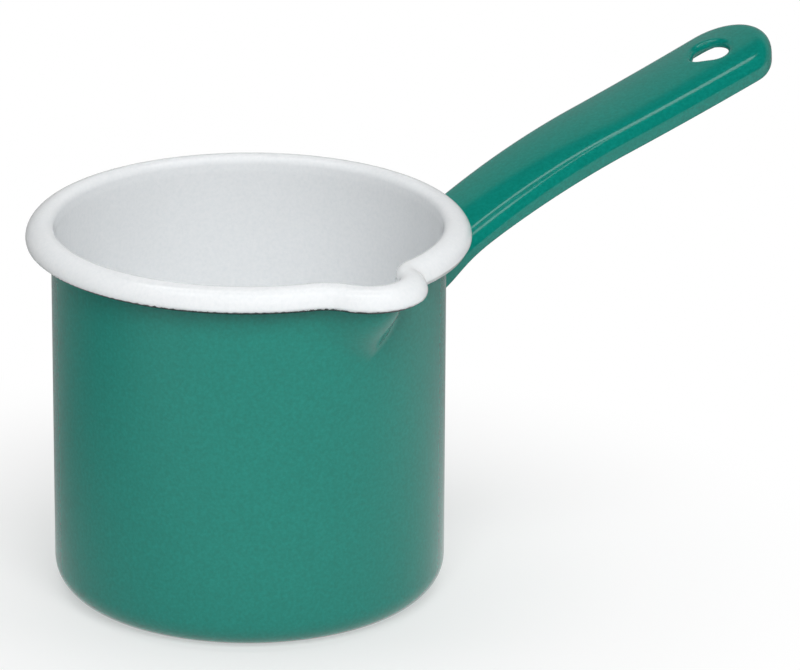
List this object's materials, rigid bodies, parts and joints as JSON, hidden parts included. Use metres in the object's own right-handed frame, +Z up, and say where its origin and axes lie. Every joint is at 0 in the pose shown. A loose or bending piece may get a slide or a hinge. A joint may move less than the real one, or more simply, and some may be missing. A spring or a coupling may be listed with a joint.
{
  "type": "milk pan",
  "caption": "Enamelled steel milk pan with a rolled rim bead, a pressed pouring lip and a channel handle with a hanging eye.",
  "frame": {"origin": "centre of the foot, on the vessel's axis, at the level that the pan stands on", "axes": "+X along the handle, -Y through the pouring lip, +Z up along the vessel's axis"},
  "size_m": [0.2786, 0.1483, 0.142],
  "materials": {
    "steel": "deep drawn low-carbon steel, covered by enamel",
    "white_enamel": "glossy white vitreous enamel",
    "green_enamel": "glossy bluish green vitreous enamel with a fine mottle",
    "ground_coat": "dark glossy ground coat"
  },
  "bodies": {
    "root": {"vessel": "steel", "inside_enamel": "white_enamel", "outside_enamel": "green_enamel", "base_enamel": "ground_coat", "handle": "steel", "handle_weld": "green_enamel", "handle_enamel": "green_enamel"}
  },
  "joints": []
}
